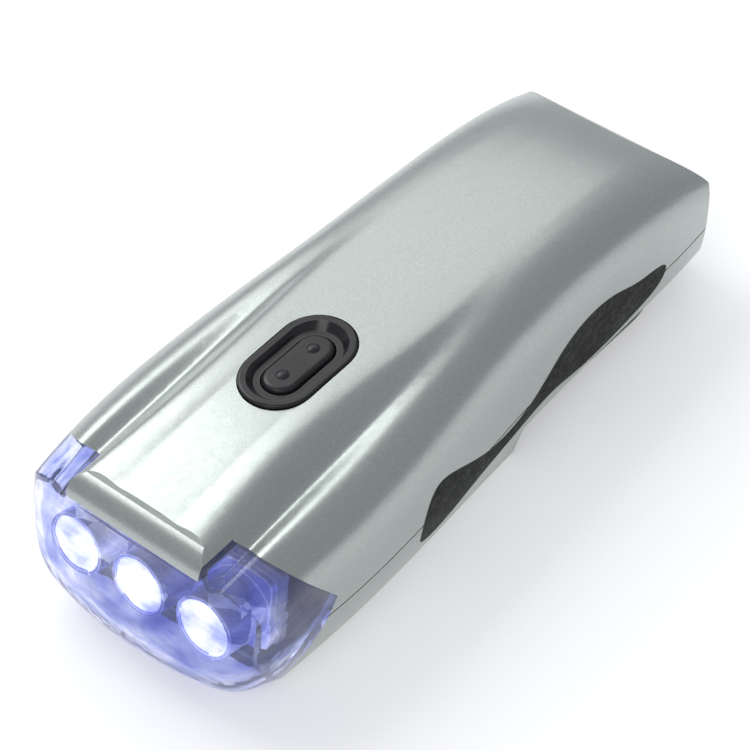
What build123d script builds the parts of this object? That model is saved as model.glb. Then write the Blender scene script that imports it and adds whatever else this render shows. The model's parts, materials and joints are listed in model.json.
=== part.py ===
from build123d import *
import math
import os

# Hand crank flashlight. Millimetres, +Z up, head towards -Y, resting on Z = 0.
# X = 0 is the middle plane, and Y = 0 lies halfway along the body.

# ---- Body ----
nose_y = -61.4          # front of the clear head
tail_y = 58.5           # rear end
wide_height = 17.0      # height at which the body is widest
crown_power = 3.6       # squareness of the crown in cross section
wall = 2.0              # thickness of the two case shells
lens_wall = 1.4         # thickness of the clear head
parting_height = 12.0   # joint plane between the top and bottom shells
seam_width = 0.3        # shadow line round the case joint
seam_depth = 0.4
corner_radius = 7.0     # of the nose and the tail, seen from above
under_cut = 0.1         # cut off below the long form to leave the flat underside

# Sections along the body: place, half width, crown height, half width of the
# flat underside, half width of the raised top panel, how far the panel stands
# up, and how deep the valley beside it is.
body_sections = (
    (-68.0, 21.0, 25.2, 16.6, 13.6, 1.6, 1.6),
    (-56.0, 22.6, 26.6, 17.0, 13.4, 1.6, 1.6),
    (-44.0, 24.2, 28.0, 17.4, 12.6, 1.7, 1.6),
    (-32.0, 24.6, 28.8, 17.6, 12.1, 2.0, 1.4),
    (-20.0, 24.0, 29.6, 17.4, 12.0, 1.7, 0.9),
    (-8.0, 22.8, 30.5, 17.0, 12.0, 0.8, 0.4),
    (4.0, 21.5, 31.1, 16.6, 11.6, 0.2, 0.1),
    (16.0, 20.7, 31.3, 16.2, 11.0, 0.0, 0.0),
    (28.0, 20.3, 30.8, 15.8, 11.0, 0.0, 0.0),
    (40.0, 20.1, 29.2, 15.0, 11.0, 0.0, 0.0),
    (52.0, 19.6, 25.8, 14.2, 11.0, 0.0, 0.0),
    (64.0, 18.8, 21.0, 13.4, 11.0, 0.0, 0.0),
)

# Outlines of the two ends seen from above: height, front of the nose, the corner
# of the nose (x, y), and half width of the tail.
end_outlines = (
    (-1.0, -53.9, 15.6, -51.6, 14.2),
    (2.5, -59.1, 18.1, -56.2, 16.0),
    (7.5, -61.4, 20.0, -58.8, 17.6),
    (16.0, -59.3, 22.3, -58.0, 19.1),
    (24.5, -56.9, 22.6, -55.9, 19.3),
    (33.0, -54.6, 22.6, -53.6, 19.3),
)
low_edge_height = 5.0   # the outlines below this follow the rounded lower edge
low_edge_lean = 1.5     # wall there, measured level, as a multiple of its thickness
block_half_width = 30.0
shaped_length = 34.0    # how far from each end its outline stays inside the block's width

# Profiles of the visor's lip and the tail's crest in side view, as distance from
# the nose or the tail and height.
lip_profile = ((4.8, 24.6), (5.9, 27.0), (8.2, 28.3))
crest_profile = ((8.0, 27.0), (2.4, 22.4), (0.0, 14.0))
lip_reach, crest_reach = 17.5, 13.5     # where the profiles have risen clear of the crown
clear_height = 40.0

# ---- Joint between the clear head and the case, seen from the side ----
head_joint_top_y, head_joint_top_z = -49.0, 27.0
head_joint_notch = (-40.5, 15.0)
head_joint_foot_y = -50.5
visor_half_width = 13.2     # the raised panel reaches out over the head
visor_underside = 25.0

# ---- Rubber side grips ----
grip_thickness = 1.1
grip_outline = (
    (-21.2, 8.2), (-20.4, 13.6), (-17.2, 17.4), (-12.0, 16.2), (-4.0, 12.4),
    (3.0, 11.2), (9.0, 12.6), (16.0, 16.4), (23.0, 18.4), (30.0, 17.8),
    (37.5, 15.4), (44.0, 12.6), (43.6, 11.4), (38.0, 8.6), (30.0, 7.6),
    (22.0, 7.8), (14.0, 9.2), (6.0, 8.4), (-1.0, 7.6), (-9.0, 6.4), (-17.0, 5.4),
)

# ---- Crank bay in the underside ----
hub_y = 40.0
bay_rear = 60.0         # length of the square part of the bay, open at the rear and the sides
bay_height = 6.6
bay_radius = 38.5
bay_roof = 1.8
arm_radius = 38.0
arm_half_width = 16.4
arm_thickness = 6.2
arm_edge_radius = 2.2
arm_corner_radius = 3.5

# ---- Folding knob ----
knob_radius = 2.8
knob_length = 18.6
groove_count, groove_width, groove_depth = 5, 0.7, 0.3
knob_hinge_y = 8.6
knob_axle_radius = 1.2
lug_length = 3.6
lug_half_width = 2.6
slot_gap = 0.5
hinge_pin_radius = 1.0
hinge_pin_start, hinge_pin_end = -6.4, 15.6
axle_cap_radius = 2.0
axle_cap_depth = 0.6
end_play = 0.2
nick_radius = 3.3       # finger notch at the free end of the knob
nick_depth = 3.6
web_bottom, web_top = 1.4, 2.4      # web in the arm that the crank screw clamps

# ---- Gear train ----
module = 0.6
crank_teeth, first_pinion_teeth = 45, 15
first_wheel_teeth, second_pinion_teeth = 42, 14
second_wheel_teeth, rotor_teeth = 36, 12
first_idler_x = -4.0
second_idler_x = 5.0
backlash = 0.12
gear_thickness = 2.0
base_thickness = 1.0
layer_gap = 0.6
running_gap = 0.05
seat_gap = 0.02
face_gap = 0.1          # between the flat faces of turning and fixed pieces
crank_collar_radius, idler_collar_radius = 5.2, 2.2
shaft_radius = 3.0
journal_radius = 2.0
axle_radius = 1.0
plate_thickness = 1.2

# ---- Generator ----
can_radius = 9.3
can_height = 11.0
can_wall = 0.6
rotor_radius = 5.6
rotor_length = 7.0
coil_inner_radius = 6.1
can_floor = 1.0
can_foot_radius = 1.4
can_edge_radius = 1.2

# ---- Switch in the top panel ----
button_y = -20.0
oval_width, oval_length = 12.4, 20.6
rim_height = 31.6
rim_width = 1.2
dish_depth = 1.2
pill_width, pill_length = 6.2, 13.4
pill_gap = 0.2
flange_top = 28.6       # the bezel's flange lies under the top shell
flange_depth = 1.0
flange_margin = 1.2
dish_margin = 1.2       # flat floor of the dish round the push button
bump_radius, bump_height, bump_spread = 1.7, 0.4, 3.4
stem_length = 1.6
plunger_radius = 1.35
switch_bore_depth = 3.2
button_travel = 1.0

# ---- Lamps ----
lamp_pitch = 12.8
lamp_y, lamp_height = -56.3, 14.6
lamp_tilt = 13.5
optic_radius = 4.6
cup_radius = 5.2
cup_depth = 9.0
seat_depth = 1.4        # the optics sit this deep in the mouths of the cups
led_radius = 2.5
led_flange = 0.4
led_length = 5.6
lamp_plate_width, lamp_plate_height = 36.4, 13.0
lamp_plate_thickness = 1.2
standoff_x, standoff_y = 16.4, 4.0
standoff_radius = 1.2

# ---- Boards, cells and fixings ----
board_thickness = 1.2
board_height = 18.0
board_half_width = 14.2
board_front_y, board_rear_y = -42.0, -16.2
cell_radius, cell_height = 10.0, 3.2
cell_y = 36.0
holder_wall = 1.2
holder_floor = 1.2
clip_width, clip_thickness = 5.0, 0.4
screw_radius = 1.0
post_radius = 2.4
head_radius = 2.0
head_height = 1.0
short_screw_length = 5.0
crank_head_radius = 2.4
crank_screw_length = 7.0
lead_radius = 0.5

os.makedirs("parts", exist_ok=True)


def save(part, name):
    part.label = name
    export_step(part, f"parts/{name}.step")


# ---------------------------------------------------------------- the body form
def crown_height(half_width, top, x):
    """Height of the plain crown at x, a squarish arch."""
    rise = 1 - (abs(x) / half_width) ** crown_power
    return wide_height + (top - wide_height) * rise ** (1 / crown_power)


def section_points(section, inset):
    """Points of one half: over the crown to the middle plane, and down to the underside."""
    _, half, top, floor_half, panel, lift, valley = section
    half, top, floor_half = half - inset, top - inset, floor_half - 0.9 * inset
    crown = []
    for degrees in (0, 13, 28, 42):
        angle = math.radians(degrees)
        crown.append((half * math.cos(angle) ** (2 / crown_power),
                      wide_height + (top - wide_height) * math.sin(angle) ** (2 / crown_power)))
    shoulder = crown[-1][0] - panel
    # across the shoulder, down into the valley and up the edge of the raised panel
    for share, raised, sunk in ((0.6, 0, 0.2), (0.3, 0, 1.0), (0.08, 0.5, 0.7), (-0.25, 1, 0)):
        x = panel + share * shoulder
        crown.append((x, crown_height(half, top, x) + lift * raised - valley * sunk))
    for x in (panel / 2, 0):
        crown.append((x, crown_height(half, top, x) + lift))
    lower = []
    for degrees in (0, 30, 60, 90):
        angle = math.radians(degrees)
        lower.append((floor_half + (half - floor_half) * math.cos(angle),
                      wide_height - (wide_height + under_cut - inset) * math.sin(angle)))
    return crown, lower


def spacing(points):
    """Spline parameters that every section shares."""
    reach = [0.0]
    for here, there in zip(points, points[1:]):
        reach.append(reach[-1] + math.dist(here, there) ** 0.8)
    return [value / reach[-1] for value in reach]


def curve(points, start, end, parameters):
    return Edge.make_spline([Vector(*p) for p in points], tangents=[Vector(*start), Vector(*end)],
                            parameters=parameters)


def long_form(inset):
    """The body's long form before its ends are shaped."""
    crown_steps, lower_steps = (spacing(points) for points in section_points(body_sections[3], 0))
    with BuildPart() as form:
        for section in body_sections:
            crown, lower = section_points(section, inset)
            with BuildSketch(Plane.XZ.offset(-section[0])):
                with BuildLine():
                    add(curve(crown, (0, 1), (-1, 0), crown_steps))
                    Polyline(crown[-1], (0, lower[-1][1]), lower[-1])
                    add(curve(lower, (0, -1), (-1, 0), lower_steps))
                make_face()
        loft()
        mirror(about=Plane.YZ)
    return form.part


def end_form(inset):
    """A tall block with the nose and tail shapes seen from above."""
    tail = tail_y - inset
    with BuildPart() as block:
        for height, front, corner_x, corner_y, tail_half in end_outlines:
            # the rounded lower edge leans, so its wall is measured along the slope
            level_inset = inset * (low_edge_lean if height < low_edge_height else 1.0)
            front += level_inset
            corner = (corner_x - 0.8 * level_inset, corner_y + 0.8 * level_inset)
            with BuildSketch(Plane.XY.offset(height)):
                with BuildLine():
                    ThreePointArc((-corner[0], corner[1]), (0, front), corner)
                    Polyline(corner, (block_half_width, nose_y + shaped_length),
                             (block_half_width, tail_y - shaped_length),
                             (tail_half - inset, tail), (inset - tail_half, tail),
                             (-block_half_width, tail_y - shaped_length),
                             (-block_half_width, nose_y + shaped_length),
                             (-corner[0], corner[1]))
                make_face()
                corners = [v for v in vertices() if abs(v.X) < block_half_width - 1]
                fillet(corners, corner_radius - inset)
        loft()
    return block.part


def body_form(inset):
    """The long form with its nose and tail shaped in side view and in plan."""
    nose, tail = nose_y + inset, tail_y - inset
    # the inset shows in full on top of the profiles and not at all at their feet
    lip = [(nose + y, z - share * inset) for (y, z), share in zip(lip_profile, (0, 0.5, 1))]
    crest = [(tail - y, z - share * inset) for (y, z), share in zip(crest_profile, (1, 0.5, 0))]
    before_nose = nose - 10
    with BuildPart() as side:
        with BuildSketch(Plane.YZ):
            with BuildLine():
                Line((before_nose, lip[0][1]), lip[0])
                ThreePointArc(*lip)
                Polyline(lip[-1], (nose + lip_reach, 33), (nose + lip_reach, clear_height),
                         (tail - crest_reach, clear_height), crest[0])
                ThreePointArc(*crest)
                # the underside is cut flat here
                Polyline(crest[-1], (tail, inset), (before_nose, inset),
                         (before_nose, lip[0][1]))
            make_face()
        extrude(amount=2 * block_half_width, both=True)
    with BuildPart() as form:
        add(long_form(inset))
        add(end_form(inset), mode=Mode.INTERSECT)
        add(side.part, mode=Mode.INTERSECT)
    return form.part


outer_form = body_form(0)
inner_form = body_form(wall)
lens_inner_form = body_form(lens_wall)
pocket_form = body_form(grip_thickness)


# ------------------------------------------------------- heights and positions
floor_top = bay_height + bay_roof
base_top = floor_top + base_thickness
low_gears = base_top + layer_gap
high_gears = low_gears + gear_thickness + layer_gap
plate_bottom = high_gears + gear_thickness + 0.8
plate_top = plate_bottom + plate_thickness


def centre_distance(teeth_a, teeth_b):
    return module * (teeth_a + teeth_b) / 2


def next_centre(start, x, distance):
    """The point at the given distance in front of the start and at the given x."""
    return (x, start[1] - math.sqrt(distance ** 2 - (x - start[0]) ** 2))


hub = (0.0, hub_y)
first_idler = next_centre(hub, first_idler_x, centre_distance(crank_teeth, first_pinion_teeth))
second_idler = next_centre(first_idler, second_idler_x,
                           centre_distance(first_wheel_teeth, second_pinion_teeth))
rotor = next_centre(second_idler, 0.0, centre_distance(second_wheel_teeth, rotor_teeth))
can_bottom = high_gears + 0.2
lamp_rib_top = 5.5
lamp_ribs = [(12.0, -47.0), (-12.0, -47.0)]
rib_width, rib_depth = 5.0, 2.8
can_top = can_bottom + can_height

front_screws = [(17.0, -31.0), (-17.0, -31.0)]
rear_screws = [(14.4, 53.2), (-14.4, 53.2)]
base_screws = [(12.5, -12.0), (-12.5, -12.0)]
pillars = [(14.6, 46.6), (-14.6, 46.6), (13.6, 24.0), (-12.6, 3.6)]
pillar_radius = 1.7
base_plate = (33.2, 63.6)
base_plate_y = 16.8
board_screws = [(11.4, -21.0), (-11.4, -21.0), (11.4, -38.5), (-11.4, -38.5)]
board_top = board_height + board_thickness


# ------------------------------------------------------------------- the shells
with BuildPart() as bay:
    with BuildSketch(Plane.XY.offset(-1)):
        with Locations(hub):
            Circle(bay_radius)
        with Locations((0, hub_y + bay_rear / 2)):
            Rectangle(2 * block_half_width, bay_rear)
    extrude(amount=bay_height + 1)

with BuildPart() as bay_block:
    with BuildSketch():
        with Locations(hub):
            Circle(bay_radius + bay_roof)
        with Locations((0, hub_y + bay_rear / 2)):
            Rectangle(2 * block_half_width, bay_rear)
    extrude(amount=floor_top)

with BuildPart() as screw_posts:
    with BuildSketch():
        with Locations(*front_screws, *rear_screws):
            Circle(post_radius)
    extrude(amount=clear_height)

with BuildPart() as cavity:
    add(inner_form)
    add(bay_block.part, mode=Mode.SUBTRACT)
    add(screw_posts.part, mode=Mode.SUBTRACT)

with BuildPart() as head_region:
    with BuildSketch(Plane.YZ):
        with BuildLine():
            Polyline((nose_y - 5, -1), (head_joint_foot_y, -1), (head_joint_foot_y, 0),
                     head_joint_notch, (head_joint_top_y, head_joint_top_z),
                     (head_joint_top_y, clear_height), (nose_y - 5, clear_height), close=True)
        make_face()
    extrude(amount=block_half_width, both=True)
    with BuildSketch(Plane.XY.offset(visor_underside)):
        with Locations((0, nose_y)):
            Rectangle(2 * visor_half_width, 40)
    extrude(amount=30, mode=Mode.SUBTRACT)

with BuildPart() as grip_prism:
    with BuildSketch(Plane.YZ.offset(8)):
        with BuildLine():
            Spline(*grip_outline, periodic=True)
        make_face()
    extrude(amount=25)
    mirror(about=Plane.YZ)

with BuildPart() as pockets:
    add(grip_prism.part)
    add(pocket_form, mode=Mode.SUBTRACT)

with BuildPart() as seam:
    with BuildSketch(Plane.XY.offset(parting_height - seam_width / 2)):
        Rectangle(2 * block_half_width, 3 * tail_y)
    extrude(amount=seam_width)
    add(body_form(seam_depth), mode=Mode.SUBTRACT)

with BuildPart() as case:
    add(outer_form)
    add(cavity.part, mode=Mode.SUBTRACT)
    add(bay.part, mode=Mode.SUBTRACT)
    add(head_region.part, mode=Mode.SUBTRACT)
    add(pockets.part, mode=Mode.SUBTRACT)
    add(seam.part, mode=Mode.SUBTRACT)

for side, name in ((1, "grip_right"), (-1, "grip_left")):
    with BuildPart() as grip:
        add(pockets.part)
        add(outer_form, mode=Mode.INTERSECT)
        split(bisect_by=Plane.YZ, keep=Keep.TOP if side > 0 else Keep.BOTTOM)
    save(grip.part, name)

with BuildPart() as head_lens:
    add(outer_form)
    add(head_region.part, mode=Mode.INTERSECT)
    add(lens_inner_form, mode=Mode.SUBTRACT)
save(head_lens.part, "head_lens")

oval_cut = (oval_length + 2 * pill_gap, oval_width + 2 * pill_gap)
screw_hole = screw_radius + 0.2
pilot_hole = screw_radius + seat_gap
front_screw_top, rear_screw_top = 22.0, 20.0
front_head_z, rear_head_z = 1.2, bay_height + 0.5

with BuildPart() as top_shell:
    add(case.part)
    split(bisect_by=Plane.XY.offset(parting_height), keep=Keep.TOP)
    with BuildSketch(Plane.XY.offset(board_top)):
        with Locations((0, button_y)):
            SlotOverall(*oval_cut, rotation=90)
    extrude(amount=40, mode=Mode.SUBTRACT)
    for places, reach in ((front_screws, front_screw_top), (rear_screws, rear_screw_top)):
        with BuildSketch(Plane.XY):
            with Locations(*places):
                Circle(pilot_hole)
        extrude(amount=reach + 0.3, mode=Mode.SUBTRACT)
save(top_shell.part, "top_shell")

with BuildPart() as bottom_shell:
    add(case.part)
    split(bisect_by=Plane.XY.offset(parting_height), keep=Keep.BOTTOM)
    with BuildSketch(Plane.XY.offset(wall / 2)):
        with Locations(*base_screws):
            Circle(post_radius)
    extrude(amount=floor_top - wall / 2)
    with BuildSketch(Plane.XY.offset(wall / 2)):
        with Locations(*board_screws):
            Circle(post_radius)
    extrude(amount=board_height - wall / 2)
    # ribs that carry the lamp board
    with BuildSketch(Plane.XY.offset(wall / 2)):
        with Locations(*lamp_ribs):
            Rectangle(rib_width, rib_depth)
    extrude(amount=lamp_rib_top - wall / 2)
    for places, head_z in ((front_screws, front_head_z), (rear_screws, rear_head_z)):
        with BuildSketch(Plane.XY):
            with Locations(*places):
                Circle(screw_hole)
        extrude(amount=parting_height, mode=Mode.SUBTRACT)
        with BuildSketch(Plane.XY):
            with Locations(*places):
                Circle(head_radius + 0.2)
        extrude(amount=head_z + head_height, mode=Mode.SUBTRACT)
    with BuildSketch(Plane.XY.offset(bay_height - 1)):
        with Locations(hub):
            Circle(shaft_radius + running_gap)
        with Locations(*pillars):
            Circle(screw_hole)
    extrude(amount=bay_roof + 2, mode=Mode.SUBTRACT)
    for places, top in ((base_screws, floor_top), (board_screws, board_height)):
        with BuildSketch(Plane.XY.offset(top - 5)):
            with Locations(*places):
                Circle(pilot_hole)
        extrude(amount=6, mode=Mode.SUBTRACT)
save(bottom_shell.part, "bottom_shell")


def screws(places, head_bottom, length):
    """Pan head screws; the shanks point up when the length is positive."""
    up = math.copysign(1, length)
    shank_start = head_bottom + (head_height if up > 0 else 0)
    outer_face = head_bottom if up > 0 else head_bottom + head_height
    with BuildPart() as group:
        with BuildSketch(Plane.XY.offset(head_bottom)):
            with Locations(*places):
                Circle(head_radius)
        extrude(amount=head_height)
        with BuildSketch(Plane.XY.offset(shank_start)):
            with Locations(*places):
                Circle(screw_radius)
        extrude(amount=length)
        # cross recess
        with BuildSketch(Plane.XY.offset(outer_face)):
            with Locations(*places):
                Rectangle(2.4, 0.5)
                Rectangle(0.5, 2.4)
        extrude(amount=0.6 * up, mode=Mode.SUBTRACT)
    return group.part


front_screw_length = front_screw_top - front_head_z - head_height
rear_screw_length = rear_screw_top - rear_head_z - head_height
save(screws(front_screws, front_head_z, front_screw_length), "case_screws_front")
save(screws(rear_screws, rear_head_z, rear_screw_length), "case_screws_rear")
save(screws(pillars, plate_top, floor_top - plate_top), "gearbox_screws")
with BuildPart() as short_screws:
    add(screws(base_screws, base_top, -short_screw_length))
    add(screws(board_screws, board_top, -short_screw_length))
save(short_screws.part, "short_screws")


# -------------------------------------------------------------------- the gears
pressure_angle = math.radians(25)
addendum, dedendum = 0.9 * module, 1.25 * module


def gear_outline(teeth, phase):
    """Involute gear outline; phase is the direction of one tooth in degrees."""
    pitch = module * teeth / 2
    base = pitch * math.cos(pressure_angle)
    half_tooth = math.pi / (2 * teeth) - backlash / (2 * pitch)

    def half_angle(radius):
        roll = math.acos(min(1.0, base / radius))
        start = math.tan(pressure_angle) - pressure_angle
        return half_tooth + start - (math.tan(roll) - roll)

    root, tip = pitch - dedendum, pitch + addendum
    flank_start = max(base, root)
    flank = [flank_start + (tip - flank_start) * share for share in (0, 0.35, 0.7, 1)]
    steps = [(root, half_angle(flank_start))] if root < base else []
    steps += [(radius, half_angle(radius)) for radius in flank]
    points = []
    for tooth in range(teeth):
        middle = math.radians(phase) + 2 * math.pi * tooth / teeth
        for radius, half in steps:
            points.append((radius * math.cos(middle - half), radius * math.sin(middle - half)))
        for radius, half in reversed(steps):
            points.append((radius * math.cos(middle + half), radius * math.sin(middle + half)))
    return points


def gear_face(teeth, centre, phase, bottom):
    """The outline of a spur gear, filled, at its place and height."""
    with BuildSketch(Plane((centre[0], centre[1], bottom))) as face:
        with BuildLine():
            Polyline(*gear_outline(teeth, phase), close=True)
        make_face()
    return face.sketch


def direction(start, end):
    return math.degrees(math.atan2(end[1] - start[1], end[0] - start[0]))


def gap_phase(teeth, start, end):
    """Phase that turns a tooth space of the gear at start towards end."""
    return direction(start, end) + 180 / teeth


with BuildPart() as crank_gear:
    extrude(gear_face(crank_teeth, hub, direction(hub, first_idler), low_gears),
            amount=gear_thickness)
    with BuildSketch(Plane.XY.offset(base_top + face_gap)):
        with Locations(hub):
            Circle(crank_collar_radius)
    extrude(amount=layer_gap)
    with BuildSketch(Plane.XY.offset(base_top)):
        with Locations(hub):
            Circle(shaft_radius + seat_gap)
    extrude(amount=10, mode=Mode.SUBTRACT)
save(crank_gear.part, "crank_gear")

with BuildPart() as first_idler_gear:
    extrude(gear_face(first_pinion_teeth, first_idler,
                      gap_phase(first_pinion_teeth, first_idler, hub), base_top + face_gap),
            amount=high_gears - base_top - face_gap)
    extrude(gear_face(first_wheel_teeth, first_idler,
                      direction(first_idler, second_idler), high_gears),
            amount=gear_thickness)
    with BuildSketch(Plane.XY.offset(high_gears)):
        with Locations(first_idler):
            Circle(idler_collar_radius)
    extrude(amount=plate_bottom - high_gears - face_gap)
    with BuildSketch(Plane.XY.offset(base_top)):
        with Locations(first_idler):
            Circle(axle_radius + running_gap)
    extrude(amount=10, mode=Mode.SUBTRACT)
save(first_idler_gear.part, "first_idler_gear")

with BuildPart() as second_idler_gear:
    extrude(gear_face(second_wheel_teeth, second_idler, direction(second_idler, rotor), low_gears),
            amount=gear_thickness)
    extrude(gear_face(second_pinion_teeth, second_idler,
                      gap_phase(second_pinion_teeth, second_idler, first_idler),
                      low_gears + gear_thickness),
            amount=plate_bottom - low_gears - gear_thickness - face_gap)
    with BuildSketch(Plane.XY.offset(base_top + face_gap)):
        with Locations(second_idler):
            Circle(idler_collar_radius)
    extrude(amount=layer_gap)
    with BuildSketch(Plane.XY.offset(base_top)):
        with Locations(second_idler):
            Circle(axle_radius + running_gap)
    extrude(amount=10, mode=Mode.SUBTRACT)
save(second_idler_gear.part, "second_idler_gear")

with BuildPart() as rotor_pinion:
    extrude(gear_face(rotor_teeth, rotor, gap_phase(rotor_teeth, rotor, second_idler),
                      base_top + face_gap),
            amount=can_bottom - base_top - 4 * face_gap)
    with BuildSketch(Plane.XY.offset(base_top)):
        with Locations(rotor):
            Circle(axle_radius + seat_gap)
    extrude(amount=10, mode=Mode.SUBTRACT)
save(rotor_pinion.part, "rotor_pinion")

with BuildPart() as gear_axles:
    with BuildSketch(Plane.XY.offset(floor_top)):
        with Locations(first_idler, second_idler):
            Circle(axle_radius)
    extrude(amount=plate_top - floor_top)
save(gear_axles.part, "gear_axles")

with BuildPart() as gearbox_base:
    with BuildSketch(Plane.XY.offset(floor_top)):
        with Locations((0, base_plate_y)):
            RectangleRounded(*base_plate, 3)
        with Locations(*base_screws, *pillars):
            Circle(pilot_hole, mode=Mode.SUBTRACT)
        with Locations(hub):
            Circle(shaft_radius + running_gap, mode=Mode.SUBTRACT)
        with Locations(first_idler, second_idler):
            Circle(axle_radius + seat_gap, mode=Mode.SUBTRACT)
        with Locations(rotor):
            Circle(axle_radius + running_gap, mode=Mode.SUBTRACT)
    extrude(amount=base_thickness)
save(gearbox_base.part, "gearbox_base")

with BuildPart() as gearbox_frame:
    with BuildSketch(Plane.XY.offset(plate_bottom)):
        with BuildLine():
            Polyline((-16.4, 48.6), (16.4, 48.6), (16.4, 23), (9.5, 5.4), (-9, 5.4),
                     (-15.2, 3.4), (-16.4, 14), close=True)
        make_face()
        with Locations(*pillars):
            Circle(pillar_radius + 0.1)
    extrude(amount=plate_thickness)
    with BuildSketch(Plane.XY.offset(base_top)):
        with Locations(*pillars):
            Circle(pillar_radius)
    extrude(amount=plate_bottom - base_top)
    with BuildSketch(Plane.XY.offset(base_top)):
        with Locations(*pillars):
            Circle(screw_radius + 0.1)
        with Locations(first_idler, second_idler):
            Circle(axle_radius + seat_gap)
        with Locations(hub):
            Circle(journal_radius + running_gap)
    extrude(amount=10, mode=Mode.SUBTRACT)
save(gearbox_frame.part, "gearbox_frame")


# ---------------------------------------------------------------- the generator
feet = [(rotor[0] + x, rotor[1] + y) for x, y in ((6.4, -4.6), (-6.4, -4.6), (-6.4, 4.2))]
with BuildPart() as generator_can:
    with BuildSketch(Plane.XY.offset(can_bottom)):
        with Locations(rotor):
            Circle(can_radius)
    extrude(amount=can_height)
    fillet(faces().sort_by(Axis.Z)[-1].edges(), can_edge_radius)
    with BuildSketch(Plane.XY.offset(can_bottom + can_floor)):
        with Locations(rotor):
            Circle(can_radius - can_wall)
    extrude(amount=can_height - can_floor - can_wall, mode=Mode.SUBTRACT)
    with BuildSketch(Plane.XY.offset(base_top)):
        with Locations(*feet):
            Circle(can_foot_radius)
    extrude(amount=can_bottom - base_top)
    with BuildSketch(Plane.XY.offset(can_bottom)):
        with Locations(rotor):
            Circle(axle_radius + running_gap)
    extrude(amount=can_height, mode=Mode.SUBTRACT)
save(generator_can.part, "generator_can")

coil_bottom = can_bottom + can_floor + 0.4
with BuildPart() as stator_coil:
    with BuildSketch(Plane.XY.offset(coil_bottom)):
        with Locations(rotor):
            Circle(can_radius - can_wall - 0.05)
            Circle(coil_inner_radius, mode=Mode.SUBTRACT)
    extrude(amount=rotor_length + 0.6)
save(stator_coil.part, "stator_coil")

with BuildPart() as rotor_magnet:
    with BuildSketch(Plane.XY.offset(coil_bottom + 0.3)):
        with Locations(rotor):
            Circle(rotor_radius)
            Circle(axle_radius + seat_gap, mode=Mode.SUBTRACT)
    extrude(amount=rotor_length)
save(rotor_magnet.part, "rotor_magnet")

with BuildPart() as rotor_shaft:
    with BuildSketch(Plane.XY.offset(floor_top + 0.2)):
        with Locations(rotor):
            Circle(axle_radius)
    extrude(amount=can_top - floor_top)
save(rotor_shaft.part, "rotor_shaft")


# ------------------------------------------------------- cells, boards, switch
cell_floor = plate_top + holder_floor
cells_top = cell_floor + 2 * cell_height
holder_top = cells_top - cell_height / 2
holder_radius = cell_radius + holder_wall
with BuildPart() as cell_holder:
    with BuildSketch(Plane.XY.offset(plate_top)):
        with Locations((0, cell_y)):
            Circle(holder_radius)
    extrude(amount=holder_top - plate_top)
    with BuildSketch(Plane.XY.offset(cell_floor)):
        with Locations((0, cell_y)):
            Circle(cell_radius + 2 * running_gap)
    extrude(amount=holder_top - cell_floor, mode=Mode.SUBTRACT)
save(cell_holder.part, "cell_holder")

for number in (1, 2):
    with BuildPart() as coin_cell:
        with BuildSketch(Plane.XY.offset(cell_floor + (number - 1) * cell_height)):
            with Locations((0, cell_y)):
                Circle(cell_radius)
        extrude(amount=cell_height)
        fillet(edges(), 0.3)
    save(coin_cell.part, f"coin_cell_{number}")

clip_reach = holder_radius + clip_thickness / 2
with BuildPart() as cell_clip:
    with BuildSketch(Plane.XY.offset(cells_top)):
        with Locations((0, cell_y)):
            Rectangle(clip_width, 2 * clip_reach + clip_thickness)
    extrude(amount=clip_thickness)
    with BuildSketch(Plane.XY.offset(plate_top)):
        with Locations((0, cell_y + clip_reach), (0, cell_y - clip_reach)):
            Rectangle(clip_width, clip_thickness)
    extrude(amount=cells_top - plate_top)
save(cell_clip.part, "cell_clip")

board_length = board_rear_y - board_front_y
with BuildPart() as main_board:
    with BuildSketch(Plane.XY.offset(board_height)):
        with Locations((0, (board_rear_y + board_front_y) / 2)):
            RectangleRounded(2 * board_half_width, board_length, 1.5)
        with Locations(*board_screws):
            Circle(screw_radius + 0.1, mode=Mode.SUBTRACT)
    extrude(amount=board_thickness)
save(main_board.part, "main_board")

standing = (Align.CENTER, Align.CENTER, Align.MIN)
with BuildPart() as board_parts:
    # storage capacitor
    with Locations((-5.0, -34.8, board_top)):
        Cylinder(3, 6, align=standing)
    fillet(faces().sort_by(Axis.Z)[-1].edges(), 0.4)
    # control chip and four diodes
    with Locations((5.0, -34.8, board_top)):
        Box(6, 5, 1.6, align=standing)
    with Locations((8, -29, board_top), (8, -26.4, board_top), (-8, -29, board_top),
                   (-8, -26.4, board_top)):
        Box(4, 1.8, 1.2, align=standing)
save(board_parts.part, "board_parts")


def oval(margin, height):
    """The switch oval, grown all round by the margin, at a height."""
    with BuildSketch(Plane.XY.offset(height)) as outline:
        with Locations((0, button_y)):
            SlotOverall(oval_length + 2 * margin, oval_width + 2 * margin, rotation=90)
    return outline.sketch


def pill(margin, height):
    """The push button's long outline, grown all round by the margin, at a height."""
    with BuildSketch(Plane.XY.offset(height)) as outline:
        with Locations((0, button_y)):
            SlotOverall(pill_length + 2 * margin, pill_width + 2 * margin, rotation=90)
    return outline.sketch


flange_bottom = flange_top - flange_depth
button_flange_top = flange_bottom - end_play
stem_foot = button_flange_top - flange_depth - stem_length
switch_top = stem_foot - button_travel - 0.5
with BuildPart() as switch_bezel:
    extrude(oval(0, flange_top), amount=rim_height - flange_top)
    fillet(faces().sort_by(Axis.Z)[-1].edges(), 0.4)
    extrude(oval(flange_margin, flange_bottom), amount=flange_depth)
    # dish that falls from the rim to the push button
    loft([pill(dish_margin, rim_height - dish_depth), oval(-rim_width, rim_height)],
         mode=Mode.SUBTRACT)
    extrude(pill(pill_gap, flange_bottom), amount=rim_height - flange_bottom, mode=Mode.SUBTRACT)
save(switch_bezel.part, "switch_bezel")

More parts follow.
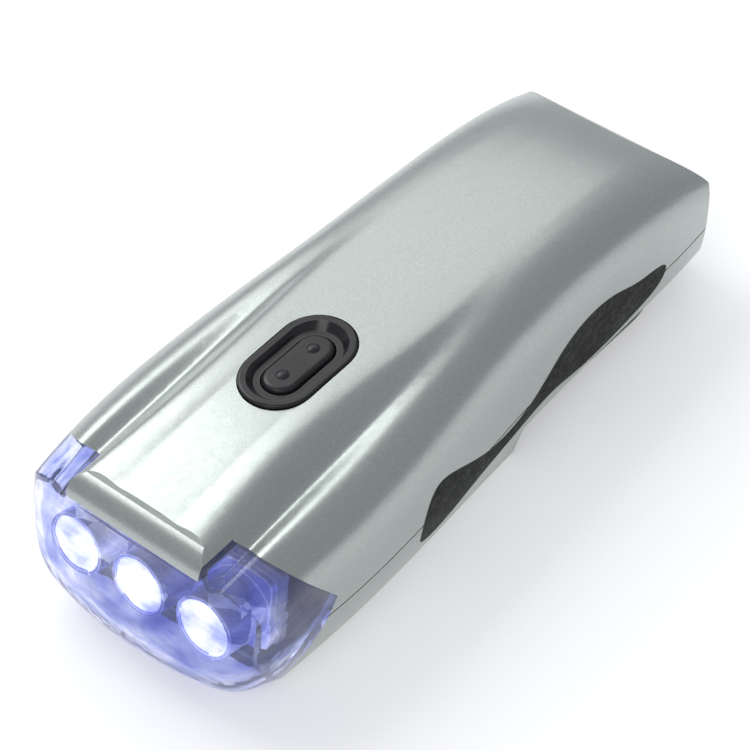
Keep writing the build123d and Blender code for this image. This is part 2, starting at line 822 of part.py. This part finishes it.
with BuildPart() as switch_button:
    extrude(pill(0, button_flange_top), amount=rim_height - bump_height - button_flange_top)
    fillet(faces().sort_by(Axis.Z)[-1].edges(), 0.9)
    with Locations((0, button_y + bump_spread, rim_height - bump_radius),
                   (0, button_y - bump_spread, rim_height - bump_radius)):
        Sphere(bump_radius)
    extrude(pill(0.8, button_flange_top - flange_depth), amount=flange_depth)
    with Locations((0, button_y, stem_foot)):
        Cylinder(1.6, stem_length, align=standing)
save(switch_button.part, "switch_button")

bore_floor = switch_top - switch_bore_depth
with BuildPart() as push_switch:
    with Locations((0, button_y, board_top)):
        Box(8, 7, switch_top - board_top, align=standing)
    with Locations((0, button_y, bore_floor)):
        Cylinder(plunger_radius + running_gap, switch_bore_depth, align=standing,
                 mode=Mode.SUBTRACT)
save(push_switch.part, "push_switch")

plunger_foot = bore_floor + button_travel + end_play
with BuildPart() as switch_plunger:
    with Locations((0, button_y, plunger_foot)):
        Cylinder(plunger_radius, stem_foot - plunger_foot, align=standing)
save(switch_plunger.part, "switch_plunger")


# -------------------------------------------------------------------- the lamps
tilt = math.radians(lamp_tilt)
forward = Vector(0, -math.cos(tilt), math.sin(tilt))
lamp_origin = Vector(0, lamp_y, lamp_height)
lamp_places = [(x, 0) for x in (-lamp_pitch, 0, lamp_pitch)]
standoffs = [(x, y) for x in (standoff_x, -standoff_x) for y in (standoff_y, -standoff_y)]
board_depth = cup_depth + lamp_plate_thickness


def lamp_plane(depth):
    """Plane square to the beam, the given depth behind the mouths of the cups."""
    return Plane(lamp_origin - forward * depth, x_dir=(1, 0, 0), z_dir=forward)


with BuildPart() as reflector:
    with BuildSketch(lamp_plane(cup_depth)):
        RectangleRounded(lamp_plate_width, lamp_plate_height, 2)
    extrude(amount=lamp_plate_thickness)
    with BuildSketch(lamp_plane(cup_depth)):
        with Locations(*lamp_places):
            Circle(cup_radius)
    extrude(amount=cup_depth)
    with BuildSketch(lamp_plane(board_depth)):
        with Locations(*standoffs):
            Circle(standoff_radius)
    extrude(amount=board_depth - cup_depth)
    # bowls, then the seats for the optics
    for place in lamp_places:
        with BuildSketch(lamp_plane(cup_depth)):
            with Locations(place):
                Circle(led_radius + 0.15)
        with BuildSketch(lamp_plane(seat_depth)):
            with Locations(place):
                Circle(optic_radius - 0.4)
        loft(mode=Mode.SUBTRACT)
    with BuildSketch(lamp_plane(seat_depth)):
        with Locations(*lamp_places):
            Circle(optic_radius + running_gap)
    extrude(amount=seat_depth, mode=Mode.SUBTRACT)
save(reflector.part, "reflector")

with BuildPart() as lamp_optics:
    with BuildSketch(lamp_plane(seat_depth)):
        with Locations(*lamp_places):
            Circle(optic_radius)
    extrude(amount=seat_depth - 0.2)
    fillet(faces().sort_by(Axis((0, 0, 0), forward))[-3:].edges(), 0.4)
save(lamp_optics.part, "lamp_optics")

for number, place in enumerate(lamp_places, start=1):
    with BuildPart() as led:
        with BuildSketch(lamp_plane(board_depth)):
            with Locations(place):
                Circle(led_radius)
        extrude(amount=led_length)
        fillet(faces().sort_by(Axis((0, 0, 0), forward))[-1].edges(), 2.2)
        with BuildSketch(lamp_plane(board_depth)):
            with Locations(place):
                Circle(led_radius + led_flange)
        extrude(amount=1)
    save(led.part, f"led_{number}")

with BuildPart() as lamp_board:
    with BuildSketch(lamp_plane(board_depth + board_thickness)):
        RectangleRounded(lamp_plate_width, lamp_plate_height, 1)
    extrude(amount=board_thickness)
save(lamp_board.part, "lamp_board")


# -------------------------------------------------------------------- the crank
slot_half_width = knob_radius + slot_gap
knob_height = arm_thickness / 2
lug_end = knob_hinge_y + lug_length
knob_start = lug_end + end_play
knob_end = knob_start + knob_length
axle_end = knob_end + end_play + axle_cap_depth
slot_front = knob_hinge_y - knob_radius - slot_gap
slot_rear = axle_end + slot_gap
axle_seat = 2.0

with BuildPart() as crank_arm:
    with BuildSketch():
        with Locations(hub):
            Circle(arm_radius)
        with Locations((0, hub_y / 2)):
            Rectangle(2 * arm_half_width, hub_y, mode=Mode.INTERSECT)
        fillet(vertices().group_by(Axis.Y)[0], arm_corner_radius)
        with Locations(hub):
            Circle(arm_half_width)
    extrude(amount=arm_thickness)
    fillet(faces().sort_by(Axis.Z)[0].edges(), arm_edge_radius)
    # slot for the folded knob, with a finger notch at its free end
    with BuildSketch():
        with Locations((0, (slot_front + slot_rear) / 2)):
            Rectangle(2 * slot_half_width, slot_rear - slot_front)
    extrude(amount=arm_thickness, mode=Mode.SUBTRACT)
    with Locations((0, slot_rear, 0)):
        Cylinder(nick_radius, nick_depth, align=standing, mode=Mode.SUBTRACT)
    # cross hole for the hinge pin, open at the right edge
    with BuildSketch(Plane.YZ.offset(hinge_pin_start)):
        with Locations((knob_hinge_y, knob_height)):
            Circle(hinge_pin_radius + seat_gap)
    extrude(amount=arm_half_width - hinge_pin_start, mode=Mode.SUBTRACT)
    # shaft bore above the web, screw recess below it
    with BuildSketch(Plane.XY.offset(web_top)):
        with Locations(hub):
            Circle(shaft_radius + seat_gap)
    extrude(amount=arm_thickness - web_top, mode=Mode.SUBTRACT)
    with BuildSketch(Plane.XY.offset(web_bottom)):
        with Locations(hub):
            Circle(screw_hole)
    extrude(amount=web_top - web_bottom, mode=Mode.SUBTRACT)
    with BuildSketch():
        with Locations(hub):
            Circle(crank_head_radius + 0.2)
    extrude(amount=web_bottom, mode=Mode.SUBTRACT)
save(crank_arm.part, "crank_arm")

with BuildPart() as crank_shaft:
    with BuildSketch(Plane.XY.offset(web_top)):
        with Locations(hub):
            Circle(shaft_radius)
    extrude(amount=low_gears + gear_thickness - web_top)
    with BuildSketch(Plane.XY.offset(low_gears)):
        with Locations(hub):
            Circle(journal_radius)
    extrude(amount=plate_top - end_play - low_gears)
    with BuildSketch(Plane.XY.offset(web_top)):
        with Locations(hub):
            Circle(pilot_hole)
    extrude(amount=crank_screw_length, mode=Mode.SUBTRACT)
save(crank_shaft.part, "crank_shaft")

with BuildPart() as crank_screw:
    with BuildSketch(Plane.XY.offset(web_bottom - head_height)):
        with Locations(hub):
            Circle(crank_head_radius)
    extrude(amount=head_height)
    with BuildSketch(Plane.XY.offset(web_bottom)):
        with Locations(hub):
            Circle(screw_radius)
    extrude(amount=crank_screw_length)
    with BuildSketch(Plane.XY.offset(web_bottom - head_height)):
        with Locations(hub):
            Rectangle(2.8, 0.6)
            Rectangle(0.6, 2.8)
    extrude(amount=0.6, mode=Mode.SUBTRACT)
save(crank_screw.part, "crank_screw")

with BuildPart() as crank_washer:
    with BuildSketch(Plane.XY.offset(arm_thickness)):
        with Locations(hub):
            Circle(2 * shaft_radius)
            Circle(shaft_radius + seat_gap, mode=Mode.SUBTRACT)
    extrude(amount=bay_height - arm_thickness - running_gap)
save(crank_washer.part, "crank_washer")

with BuildPart() as hinge_pin:
    with BuildSketch(Plane.YZ.offset(hinge_pin_start)):
        with Locations((knob_hinge_y, knob_height)):
            Circle(hinge_pin_radius)
    extrude(amount=hinge_pin_end - hinge_pin_start)
save(hinge_pin.part, "hinge_pin")

with BuildPart() as knob_lug:
    with BuildSketch(Plane.YZ):
        with Locations((knob_hinge_y, knob_height)):
            Circle(knob_radius)
        with Locations((knob_hinge_y + lug_length / 2, knob_height)):
            Rectangle(lug_length, 2 * knob_radius)
    extrude(amount=lug_half_width, both=True)
    with BuildSketch(Plane.XZ.offset(-lug_end)):
        with Locations((0, knob_height)):
            Circle(knob_axle_radius + seat_gap)
    extrude(amount=axle_seat, mode=Mode.SUBTRACT)
    with BuildSketch(Plane.YZ):
        with Locations((knob_hinge_y, knob_height)):
            Circle(hinge_pin_radius + running_gap)
    extrude(amount=lug_half_width, both=True, mode=Mode.SUBTRACT)
save(knob_lug.part, "knob_lug")

with BuildPart() as knob_axle:
    with BuildSketch(Plane.XZ.offset(-axle_end)):
        with Locations((0, knob_height)):
            Circle(knob_axle_radius)
    extrude(amount=axle_end - lug_end + axle_seat)
    with BuildSketch(Plane.XZ.offset(-axle_end)):
        with Locations((0, knob_height)):
            Circle(axle_cap_radius)
    extrude(amount=axle_cap_depth)
save(knob_axle.part, "knob_axle")

with BuildPart() as crank_knob:
    with BuildSketch(Plane.XZ.offset(-knob_end)):
        with Locations((0, knob_height)):
            Circle(knob_radius)
    extrude(amount=knob_length)
    fillet(edges().filter_by(GeomType.CIRCLE), 0.5)
    for number in range(groove_count):
        groove_y = knob_start + (number + 1) * knob_length / (groove_count + 1)
        with BuildSketch(Plane.XZ.offset(-groove_y - groove_width / 2)):
            with Locations((0, knob_height)):
                Circle(knob_radius)
                Circle(knob_radius - groove_depth, mode=Mode.SUBTRACT)
        extrude(amount=groove_width, mode=Mode.SUBTRACT)
    with BuildSketch(Plane.XZ.offset(-knob_end)):
        with Locations((0, knob_height)):
            Circle(knob_axle_radius + running_gap)
    extrude(amount=knob_length, mode=Mode.SUBTRACT)
save(crank_knob.part, "crank_knob")


# -------------------------------------------------------------------- the leads
def bend_radius(points):
    """The largest radius that leaves a short straight between the bends."""
    radii = []
    for before, corner, after in zip(points, points[1:], points[2:]):
        arriving, leaving = Vector(*corner) - Vector(*before), Vector(*after) - Vector(*corner)
        half_turn = math.radians(arriving.get_angle(leaving) / 2)
        radii.append(0.45 * min(arriving.length, leaving.length) / math.tan(half_turn))
    return min(radii)


def lead(points):
    """A round lead along straight runs joined by arcs."""
    with BuildPart() as wire:
        with BuildLine() as path:
            FilletPolyline(*points, radius=bend_radius(points))
        with BuildSketch(Plane(path.line @ 0, z_dir=path.line % 0)):
            Circle(lead_radius)
        sweep()
    return wire.part


lead_height = can_top + 2.6
lamp_back = lamp_origin - forward * (board_depth + board_thickness)
with BuildPart() as lamp_leads:
    for x in (5.0, -5.0):
        start = lamp_back + Vector(x, 0, 0) + forward.cross(Vector(1, 0, 0)) * 3.0
        corner = start - forward * 6.6
        add(lead([tuple(start), tuple(corner), (corner.X, corner.Y, board_height)]))
save(lamp_leads.part, "lamp_leads")

with BuildPart() as generator_leads:
    for x in (6.0, -6.0):
        add(lead([(x, rotor[1] - 3.8, can_top), (x, rotor[1] - 3.8, lead_height),
                  (x, board_rear_y - 1.4, lead_height), (x, board_rear_y - 1.4, board_top)]))
save(generator_leads.part, "generator_leads")

clip_top = cells_top + clip_thickness
rim_radius = holder_radius - holder_wall / 2
rim_start_x = -6.0
rim_start_y = cell_y - math.sqrt(rim_radius ** 2 - rim_start_x ** 2)
with BuildPart() as battery_leads:
    for x, start in ((8.2, (1.3, cell_y - 9.5, clip_top)),
                     (-8.2, (rim_start_x, rim_start_y, holder_top))):
        add(lead([start, (start[0], start[1], lead_height), (x, 10.0, lead_height),
                  (x, board_rear_y - 2.2, lead_height), (x, board_rear_y - 2.2, board_top)]))
save(battery_leads.part, "battery_leads")
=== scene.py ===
import json
import math

import bpy
from mathutils import Matrix, Vector

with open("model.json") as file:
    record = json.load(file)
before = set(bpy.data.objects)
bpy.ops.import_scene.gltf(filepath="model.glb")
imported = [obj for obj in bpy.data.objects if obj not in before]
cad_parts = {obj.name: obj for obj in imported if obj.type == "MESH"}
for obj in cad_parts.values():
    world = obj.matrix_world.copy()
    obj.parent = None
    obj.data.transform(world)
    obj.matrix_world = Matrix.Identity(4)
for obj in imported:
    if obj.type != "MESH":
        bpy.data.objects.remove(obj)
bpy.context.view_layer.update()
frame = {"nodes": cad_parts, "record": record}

# Lengths are in metres, angles in degrees and powers in watts, unless a name says otherwise.
floor_half_width, floor_drop = 3.0, 0.00005
floor_colour, floor_lift = (0.86, 0.86, 0.87), 0.4
sky_colour, sky_strength = (0.93, 0.95, 1.0), 0.42
light_aim = Vector((0, 0, 0.02))

camera_around, camera_over, camera_roll = 44.43, 46.15, -5.0
camera_distance = 0.43647
camera_right, camera_up = 0.001147, -0.001053
camera_aim = Vector((0, -0.00557, 0.01786))
camera_near = 0.01
lens_mm, sensor_mm = 136.658, 36


# ------------------------------------------------------------------- materials
most_noise = (0.35, 0.65)  # where nearly all values of a noise lie
soft_noise = (0.3, 0.7)
fine_bump = 0.0001
turned_edge = (0.75, 1.0)  # how far a rounded normal agrees with the real one
mix_factor, mix_first, mix_second, mix_result = 0, 6, 7, 2  # colour sockets of a mix node


def srgb(text):
    """Linear colour of a hex colour."""
    values = [int(text[i:i + 2], 16) / 255 for i in (1, 3, 5)]
    return tuple(v / 12.92 if v <= 0.04045 else ((v + 0.055) / 1.055) ** 2.4 for v in values)


class Shader:
    """One procedural material, built node by node."""

    def __init__(self, name, **sockets):
        self.material = bpy.data.materials.new(name)
        self.material.use_nodes = True
        self.tree = self.material.node_tree
        self.tree.nodes.clear()
        output = self.add("ShaderNodeOutputMaterial")
        self.bsdf = self.add("ShaderNodeBsdfPrincipled")
        self.link(self.bsdf.outputs[0], output.inputs[0])
        self.coords = self.add("ShaderNodeTexCoord").outputs["Object"]
        for socket, value in sockets.items():
            self.bsdf.inputs[socket.replace("_", " ")].default_value = value

    def add(self, kind, **settings):
        node = self.tree.nodes.new(kind)
        for key, value in settings.items():
            setattr(node, key, value)
        return node

    def link(self, start, end):
        self.tree.links.new(start, end)

    def set(self, socket, value):
        self.link(value, self.bsdf.inputs[socket])

    def noise(self, scale, detail, roughness=0.6, stretch=None):
        node = self.add("ShaderNodeTexNoise")
        node.inputs["Scale"].default_value = scale
        node.inputs["Detail"].default_value = detail
        node.inputs["Roughness"].default_value = roughness
        vector = self.coords
        if stretch:
            mapping = self.add("ShaderNodeMapping")
            mapping.inputs["Scale"].default_value = stretch
            self.link(vector, mapping.inputs["Vector"])
            vector = mapping.outputs[0]
        self.link(vector, node.inputs["Vector"])
        return node.outputs[0]

    def cells(self, scale, output):
        node = self.add("ShaderNodeTexVoronoi")
        node.inputs["Scale"].default_value = scale
        self.link(self.coords, node.inputs["Vector"])
        return node.outputs[output]

    def span(self, value, taken, given):
        """Value, with the range taken spread over the range given."""
        node = self.add("ShaderNodeMapRange")
        node.inputs["From Min"].default_value, node.inputs["From Max"].default_value = taken
        node.inputs["To Min"].default_value, node.inputs["To Max"].default_value = given
        self.link(value, node.inputs["Value"])
        return node.outputs[0]

    def ramp(self, value, *stops):
        node = self.add("ShaderNodeValToRGB")
        elements = node.color_ramp.elements
        while len(elements) < len(stops):
            elements.new(0.5)
        for element, (place, colour) in zip(elements, stops):
            element.position = place
            element.color = (*srgb(colour), 1)
        self.link(value, node.inputs[0])
        return node.outputs[0]

    def mix(self, factor, first, second):
        """Blend of two colours, each a hex colour or a socket."""
        node = self.add("ShaderNodeMix", data_type="RGBA")
        self.link(factor, node.inputs[mix_factor])
        for index, colour in ((mix_first, first), (mix_second, second)):
            if isinstance(colour, str):
                node.inputs[index].default_value = (*srgb(colour), 1)
            else:
                self.link(colour, node.inputs[index])
        return node.outputs[mix_result]

    def edges(self, radius, strength):
        """Strength where the surface turns sharply, and 0 elsewhere; the materials use it for
        painted highlights and painted shade along rims, and for wear.
        """
        bevel = self.add("ShaderNodeBevel", samples=4)
        bevel.inputs["Radius"].default_value = radius
        geometry = self.add("ShaderNodeNewGeometry")
        agreement = self.add("ShaderNodeVectorMath", operation="DOT_PRODUCT")
        self.link(bevel.outputs[0], agreement.inputs[0])
        self.link(geometry.outputs["Normal"], agreement.inputs[1])
        return self.span(agreement.outputs["Value"], turned_edge, (strength, 0.0))

    def bump(self, value, strength, height=fine_bump):
        node = self.add("ShaderNodeBump")
        node.inputs["Strength"].default_value = strength
        node.inputs["Distance"].default_value = height
        self.link(value, node.inputs["Height"])
        self.set("Normal", node.outputs[0])


def silver_paint():
    paint = Shader("silver_paint", Metallic=0.75, Coat_Weight=0.25, Coat_Roughness=0.2)
    flake = paint.span(paint.noise(scale=4200, detail=2), most_noise, (0.0, 1.0))
    cloud = paint.span(paint.noise(scale=34, detail=3), (0.4, 0.7), (0.0, 0.22))
    colour = paint.mix(flake, "#adb5b1", "#bdc4c1")
    colour = paint.mix(cloud, colour, "#b1bbb7")
    # Painted highlight: the silver turns lighter along sharp edges and creases.
    colour = paint.mix(paint.edges(radius=0.0005, strength=0.25), colour, "#d2d6d4")
    paint.set("Base Color", colour)
    smear = paint.noise(scale=900, detail=3)
    paint.set("Roughness", paint.span(smear, soft_noise, (0.3, 0.36)))
    paint.bump(paint.noise(scale=3600, detail=2), strength=0.03)
    return paint.material


def speckled_rubber():
    rubber = Shader("speckled_rubber", Specular_IOR_Level=0.35)
    speck = rubber.noise(scale=900, detail=6, roughness=0.75)
    colour = rubber.ramp(speck, (0.36, "#1a1a19"), (0.52, "#2f302e"), (0.66, "#4c4d4a"))
    colour = rubber.mix(rubber.edges(radius=0.0006, strength=0.5), colour, "#5c5d5b")
    rubber.set("Base Color", colour)
    smear = rubber.noise(scale=160, detail=4)
    rubber.set("Roughness", rubber.span(smear, soft_noise, (0.62, 0.86)))
    rubber.bump(speck, strength=0.55, height=0.00025)
    return rubber.material


def black_plastic(name, tone, roughness):
    plastic = Shader(name, Specular_IOR_Level=0.5)
    cloud = plastic.span(plastic.noise(scale=220, detail=4), most_noise, (0.0, 1.0))
    colour = plastic.mix(cloud, tone, "#232326")
    # Painted highlight: a lighter rim line along the sharp edges of the gloss plastic.
    colour = plastic.mix(plastic.edges(radius=0.0004, strength=0.45), colour, "#6d6e72")
    plastic.set("Base Color", colour)
    smear = plastic.noise(scale=420, detail=4)
    plastic.set("Roughness", plastic.span(smear, most_noise, roughness))
    plastic.bump(plastic.noise(scale=1200, detail=3), strength=0.12)
    return plastic.material


def clear_plastic():
    """Tinted clear plastic, with a slight painted glow: it emits a little light, standing in for
    the light seen inside it.
    """
    clear = Shader("clear_plastic", Transmission_Weight=1.0, IOR=1.3, Coat_Weight=0.3,
                   Coat_Roughness=0.03, Emission_Strength=0.06)
    # Painted glow: the pale streaks stand in for light seen in the plastic; the violet is its
    # tint.
    tint_and_glow_streak = clear.noise(scale=130, detail=2, stretch=(1.0, 1.0, 2.2))
    colour = clear.ramp(tint_and_glow_streak, (0.38, "#f6f7ff"), (0.5, "#c9cff2"), (0.62, "#98a2de"))
    # Painted shade: the rims of the clear plastic turn a darker violet.
    colour = clear.mix(clear.edges(radius=0.0008, strength=0.8), colour, "#8d96d6")
    clear.set("Base Color", colour)
    # Painted glow: the emission colour drifts from violet to pale.
    cloud = clear.span(clear.noise(scale=110, detail=3), most_noise, (0.0, 1.0))
    clear.set("Emission Color", clear.mix(cloud, "#7f88cc", "#dfe3fb"))
    smear = clear.noise(scale=300, detail=3)
    clear.set("Roughness", clear.span(smear, most_noise, (0.02, 0.07)))
    clear.bump(clear.noise(scale=170, detail=2), strength=0.35, height=0.0005)
    return clear.material


def painted_light_reflector():
    """Faceted reflector with painted reflections: each cell is painted one shade, from dark blue
    to near white, and glows a little in that colour.
    """
    reflector = Shader("painted_light_reflector", Metallic=0.5, Emission_Strength=0.3)
    # Painted reflections: each facet cell gets one shade from dark blue to near white.
    channels = reflector.add("ShaderNodeSeparateColor")
    reflector.link(reflector.cells(scale=260, output="Color"), channels.inputs[0])
    colour = reflector.ramp(channels.outputs[0], (0.15, "#5c66ae"), (0.6, "#8b94d2"),
                            (0.9, "#eef0fd"))
    # Painted highlight: the facet edges turn near white.
    colour = reflector.mix(reflector.edges(radius=0.0005, strength=0.8), colour, "#f4f6ff")
    reflector.set("Base Color", colour)
    # Painted glow: the reflector emits its own painted colour.
    reflector.set("Emission Color", colour)
    smear = reflector.noise(scale=500, detail=3)
    reflector.set("Roughness", reflector.span(smear, most_noise, (0.12, 0.3)))
    reflector.bump(reflector.noise(scale=700, detail=3), strength=0.1)
    return reflector.material


def painted_glow_disc():
    """Frosted disc in front of a lamp, with a painted glow: it emits light in its own colour."""
    disc = Shader("painted_glow_disc", Roughness=0.35, Emission_Strength=0.85)
    frost = disc.cells(scale=1400, output="Distance")
    colour = disc.mix(disc.span(frost, (0.1, 0.7), (0.0, 1.0)), "#eceefa", "#ffffff")
    colour = disc.mix(disc.edges(radius=0.0004, strength=1.0), colour, "#6f7ac6")
    disc.set("Base Color", colour)
    # Painted glow: the disc emits its own colour.
    disc.set("Emission Color", colour)
    disc.bump(frost, strength=0.3)
    return disc.material


def plain(name, light, dark, roughness, metallic=0.0, grain=300, stretch=None, wear="#8f9092",
          bump=0.1):
    """Plastic or metal whose grain runs from dark to light."""
    shader = Shader(name, Metallic=metallic)
    texture = shader.noise(scale=grain, detail=5, roughness=0.65, stretch=stretch)
    colour = shader.mix(shader.span(texture, most_noise, (0.0, 1.0)), dark, light)
    colour = shader.mix(shader.edges(radius=0.0003, strength=0.4), colour, wear)
    shader.set("Base Color", colour)
    smear = shader.noise(scale=0.6 * grain, detail=4)
    shader.set("Roughness", shader.span(smear, most_noise, roughness))
    shader.bump(texture, strength=bump)
    return shader.material


def metal(name, light, dark, roughness, grain, stretch=None):
    return plain(name, light, dark, roughness, metallic=1.0, grain=grain, stretch=stretch)


# By material slot of the record.
materials = {
    "silver": silver_paint(),
    "clear": clear_plastic(),
    "grip_rubber": speckled_rubber(),
    "black_gloss": black_plastic("black_gloss", "#121214", (0.16, 0.3)),
    "black_button": black_plastic("black_button", "#161618", (0.26, 0.42)),
    "reflector_white": painted_light_reflector(),
    "frosted": painted_glow_disc(),
    "led_epoxy": plain("led_epoxy", "#f6f7f0", "#e6e8dc", (0.08, 0.2)),
    "board_white": plain("board_white", "#e2e3e6", "#cdced2", (0.4, 0.6)),
    "board_green": plain("board_green", "#2f7443", "#1f5632", (0.3, 0.5), grain=800),
    "component_black": plain("component_black", "#2a2b2d", "#151617", (0.35, 0.6)),
    "component_white": plain("component_white", "#ecebe6", "#d8d7d0", (0.3, 0.5)),
    "frame_plastic": plain("frame_plastic", "#4a4c51", "#323438", (0.4, 0.6)),
    "gear_white": plain("gear_white", "#f0eee6", "#dcd9cd", (0.35, 0.5)),
    "crank_black": plain("crank_black", "#333335", "#1d1d1f", (0.42, 0.62), grain=1400,
                         wear="#58595c", bump=0.3),
    "lead_sheath": plain("lead_sheath", "#c43a32", "#93211c", (0.35, 0.55), wear="#d8625a"),
    "cell_steel": metal("cell_steel", "#c9ccd0", "#a4a8ad", (0.2, 0.36), grain=900),
    "spring_brass": metal("spring_brass", "#d9b35a", "#b08a38", (0.22, 0.4), grain=900),
    "steel": metal("steel", "#b9bdc1", "#8f9397", (0.2, 0.38), grain=1200),
    "can_steel": metal("can_steel", "#adb1b6", "#878b90", (0.28, 0.44), grain=500),
    "copper": metal("copper", "#c9814d", "#8f4f29", (0.25, 0.42), grain=1500,
                    stretch=(0.2, 0.2, 6.0)),
    "magnet": metal("magnet", "#5a5d62", "#3b3d41", (0.3, 0.5), grain=700),
}
for part in frame["record"]["subparts"]:
    for place in frame["nodes"][part["node"]].material_slots:
        place.material = materials[part["material_slot"]]


# --------------------------------------------------------------- floor and sky
def paper():
    """White paper that cameras, mirrors and glass see a little brighter than it lights others."""
    material = bpy.data.materials.new("floor_paper")
    material.use_nodes = True
    nodes, link = material.node_tree.nodes, material.node_tree.links.new
    nodes.clear()
    diffuse = nodes.new("ShaderNodeBsdfDiffuse")
    diffuse.inputs["Color"].default_value = (*floor_colour, 1)

    rays = nodes.new("ShaderNodeLightPath")
    through, seen = (nodes.new("ShaderNodeMath") for _ in range(2))
    through.operation = seen.operation = "ADD"
    seen.use_clamp = True
    link(rays.outputs["Is Glossy Ray"], through.inputs[0])
    link(rays.outputs["Is Transmission Ray"], through.inputs[1])
    link(rays.outputs["Is Camera Ray"], seen.inputs[0])
    link(through.outputs[0], seen.inputs[1])

    lift = nodes.new("ShaderNodeMath")
    lift.operation = "MULTIPLY"
    lift.inputs[1].default_value = floor_lift
    link(seen.outputs[0], lift.inputs[0])
    glow = nodes.new("ShaderNodeEmission")
    link(lift.outputs[0], glow.inputs["Strength"])

    total = nodes.new("ShaderNodeAddShader")
    link(diffuse.outputs[0], total.inputs[0])
    link(glow.outputs[0], total.inputs[1])
    link(total.outputs[0], nodes.new("ShaderNodeOutputMaterial").inputs[0])
    return material


corners = [(x * floor_half_width, y * floor_half_width, 0)
           for x, y in ((-1, -1), (1, -1), (1, 1), (-1, 1))]
floor_mesh = bpy.data.meshes.new("floor")
floor_mesh.from_pydata(corners, [], [range(len(corners))])
floor_mesh.materials.append(paper())
floor = bpy.data.objects.new("floor", floor_mesh)
floor.location.z = -floor_drop
bpy.context.collection.objects.link(floor)

sky = bpy.data.worlds.new("studio")
bpy.context.scene.world = sky
sky.use_nodes = True
sky.node_tree.nodes.clear()
background = sky.node_tree.nodes.new("ShaderNodeBackground")
background.inputs["Color"].default_value = (*sky_colour, 1)
background.inputs["Strength"].default_value = sky_strength
sky.node_tree.links.new(background.outputs[0],
                        sky.node_tree.nodes.new("ShaderNodeOutputWorld").inputs[0])


# ----------------------------------------------------------- lights and camera
def area_light(name, place, width, power):
    """Square light that points at light_aim."""
    data = bpy.data.lights.new(name, "AREA")
    data.shape = "RECTANGLE"
    data.size = data.size_y = width
    data.energy = power
    light = bpy.data.objects.new(name, data)
    light.location = place
    light.rotation_euler = (light_aim - Vector(place)).to_track_quat("-Z", "Y").to_euler()
    bpy.context.collection.objects.link(light)


area_light("key", (-0.45, 0.0, 0.5), width=0.4, power=1.5)
area_light("over", (-0.36, 0.38, 0.52), width=0.55, power=0.9)
area_light("front", (0.1, -0.5, 0.5), width=0.3, power=0.6)


def camera_pose():
    """Where the photograph was taken from."""
    around, over, roll = map(math.radians, (camera_around, camera_over, camera_roll))
    level = Vector((math.cos(around), math.sin(around), 0))
    back = Vector((math.sin(around) * math.cos(over), -math.cos(around) * math.cos(over),
                   math.sin(over)))
    upright = back.cross(level)
    right = math.cos(roll) * level + math.sin(roll) * upright
    up = -math.sin(roll) * level + math.cos(roll) * upright
    pose = Matrix((right, up, back)).transposed().to_4x4()
    pose.translation = (camera_aim + camera_right * right + camera_up * up
                        + camera_distance * back)
    return pose


camera_data = bpy.data.cameras.new("camera")
camera_data.sensor_width = sensor_mm
camera_data.lens = lens_mm
camera_data.clip_start = camera_near
camera = bpy.data.objects.new("camera", camera_data)
camera.matrix_world = camera_pose()
bpy.context.collection.objects.link(camera)
bpy.context.scene.camera = camera

bpy.context.scene.view_settings.view_transform = "Standard"
